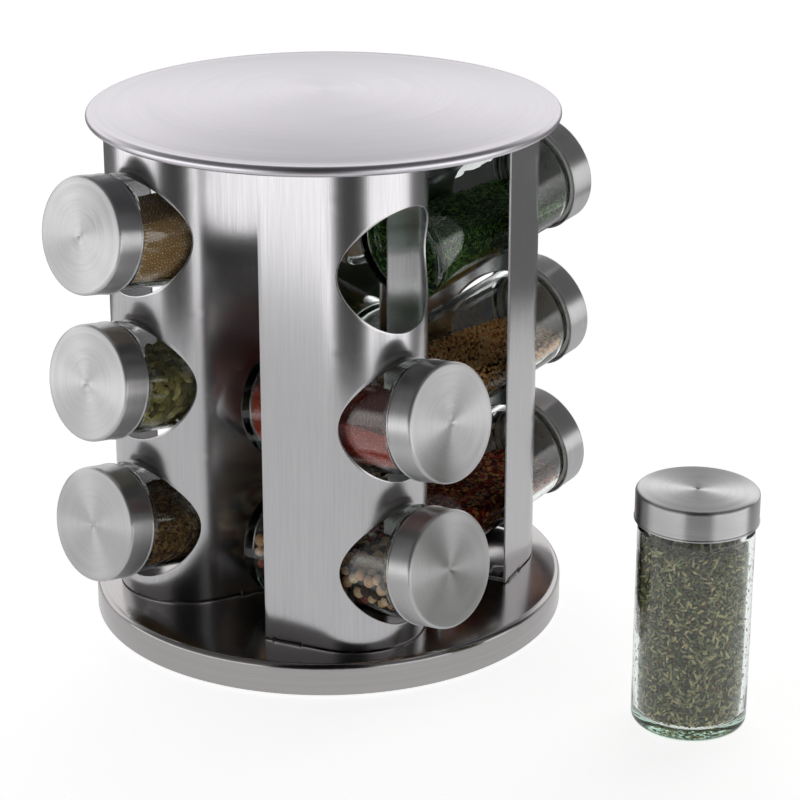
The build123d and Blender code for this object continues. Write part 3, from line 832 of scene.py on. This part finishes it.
# ---- studio ----
STUDIO = 1.7
STUDIO_TINT = (1.01, 1.0, 1.0)
# brightness at shares of a turn: 0 is left, 0.25 the camera's side, 0.5 right and 0.75 the back
SOFTBOXES = [(0.0, 1.0), (0.165, 1.0), (0.182, 0.04), (0.305, 0.04), (0.322, 1.0), (0.505, 1.0), (0.53, 0.14),
             (0.62, 0.10), (0.955, 0.10), (0.965, 1.0)]
BACK_WALL = [(0.56, 0.0), (0.62, 0.74), (0.92, 0.74), (0.965, 0.0)]
# brightness at shares of the way from straight down to straight up
BOX_HEIGHT = [(0.0, 0.10), (0.20, 0.14), (0.27, 1.0), (0.55, 1.0), (0.62, 0.14), (1.0, 0.05)]
WALL_HEIGHT = [(0.5, 0.0), (0.56, 1.0), (0.74, 1.0), (0.82, 0.2), (1.0, 0.08)]
FLOOR_SIZE = 8.0             # metres
# two corners each, in millimetres, and how far each lies under or over the floor
BOARD = ((-600, -415), (360, 300))   # the grey board that only the steel and the glass mirror
SHADE_CARD = ((-300, 130), (300, 900))     # painted shade: a dark card that only shows through the glass, standing in for the shade seen through the jars
SHEET_GAP = 0.5
PAPER_SHADE, PAPER_GLOW = 0.86, 0.80
BOARD_SHADE, BOARD_GLOW = 0.5, 0.22
CAMERA_AT = (30.42, -995.70, 466.40)     # millimetres
CAMERA_PITCH = 20.766        # degrees below level
CAMERA_LENS = 114.59         # on a 36 mm sensor


def studio_light():
    """Softboxes left and right, a pale wall behind, dark between and above; plain white to the camera."""
    world = bpy.data.worlds.new("studio")
    bpy.context.scene.world = world
    world.use_nodes = True
    tree = world.node_tree
    tree.nodes.clear()
    way = add(tree, "ShaderNodeTexCoord").outputs["Generated"]
    axes = add(tree, "ShaderNodeSeparateXYZ", {"Vector": way}).outputs
    turn = add(tree, "ShaderNodeMath", {0: axes["Y"], 1: axes["X"]}, operation="ARCTAN2").outputs[0]
    share = add(tree, "ShaderNodeMapRange", {"Value": turn, "From Min": -pi, "From Max": pi}).outputs[0]
    rise = add(tree, "ShaderNodeMapRange", {"Value": axes["Z"], "From Min": -1.0, "From Max": 1.0}).outputs[0]
    lights = []
    for around, upward in ((SOFTBOXES, BOX_HEIGHT), (BACK_WALL, WALL_HEIGHT)):
        wide = add(tree, "ShaderNodeValToRGB", {"Fac": share}, stops=[(at, grey(v)) for at, v in around])
        high = add(tree, "ShaderNodeValToRGB", {"Fac": rise}, stops=[(at, grey(v)) for at, v in upward])
        patch = add(tree, "ShaderNodeVectorMath", {
            0: wide.outputs[0], 1: high.outputs[0]}, operation="MULTIPLY")
        lights.append(patch.outputs[0])
    light = add(tree, "ShaderNodeVectorMath", {0: lights[0], 1: lights[1]}, operation="ADD").outputs[0]
    tinted = add(tree, "ShaderNodeVectorMath", {0: light, 1: STUDIO_TINT}, operation="MULTIPLY").outputs[0]
    lamp = add(tree, "ShaderNodeBackground", {"Color": tinted, "Strength": STUDIO})
    seen = add(tree, "ShaderNodeBackground", {"Color": grey(1.0), "Strength": 1.0})
    path = add(tree, "ShaderNodeLightPath").outputs["Is Camera Ray"]
    mixed = add(tree, "ShaderNodeMixShader", {0: path, 1: lamp.outputs[0], 2: seen.outputs[0]})
    add(tree, "ShaderNodeOutputWorld", {"Surface": mixed.outputs[0]})


def glowing_paper(name, shade, glow):
    """Matt studio paper that is lit a little from within."""
    made, tree, shader = finish_of(name)
    shader.inputs["Base Color"].default_value = grey(shade)
    shader.inputs["Roughness"].default_value = 0.9
    shader.inputs["Emission Color"].default_value = grey(1.0)
    shader.inputs["Emission Strength"].default_value = glow
    return made


def laid_flat(name, corners, height, finish, unseen_by):
    """A level rectangle of the studio, hidden from the named kinds of light ray."""
    (x0, y0), (x1, y1) = corners
    mesh = bpy.data.meshes.new(name)
    spots = [(x0, y0), (x1, y0), (x1, y1), (x0, y1)]
    mesh.from_pydata([(x * MM, y * MM, height * MM) for x, y in spots], [], [(0, 1, 2, 3)])
    mesh.materials.append(finish)
    sheet = bpy.data.objects.new(name, mesh)
    bpy.context.scene.collection.objects.link(sheet)
    for ray in unseen_by:
        setattr(sheet, f"visible_{ray}", False)


def studio_floor():
    """A plain pale floor level with the foot ring's underside, and two sheets that the camera doesn't see."""
    half = FLOOR_SIZE / 2 / MM
    white = glowing_paper("white_studio_paper", PAPER_SHADE, PAPER_GLOW)
    laid_flat("floor", ((-half, -half), (half, half)), 0, white, ["glossy"])
    dim = glowing_paper("grey_studio_board", BOARD_SHADE, BOARD_GLOW)
    laid_flat("board", BOARD, -SHEET_GAP, dim, ["camera", "diffuse", "transmission", "shadow"])
    # painted shade: a black card that is seen only through the glass, darkening the view through the jars
    dark = plain("black_card_painted_shade", "101010", 0.9)
    laid_flat("card", SHADE_CARD, SHEET_GAP, dark, ["camera", "diffuse", "glossy", "shadow"])


def studio_camera():
    eye = bpy.data.cameras.new("camera")
    eye.lens = CAMERA_LENS
    eye.sensor_width = 36
    eye.clip_end = 20
    camera = bpy.data.objects.new("camera", eye)
    camera.location = Vector(CAMERA_AT) * MM
    camera.rotation_euler = (radians(90 - CAMERA_PITCH), 0, 0)
    bpy.context.scene.collection.objects.link(camera)
    bpy.context.scene.camera = camera


studio_light()
studio_floor()
studio_camera()
bpy.context.scene.view_settings.view_transform = "Standard"
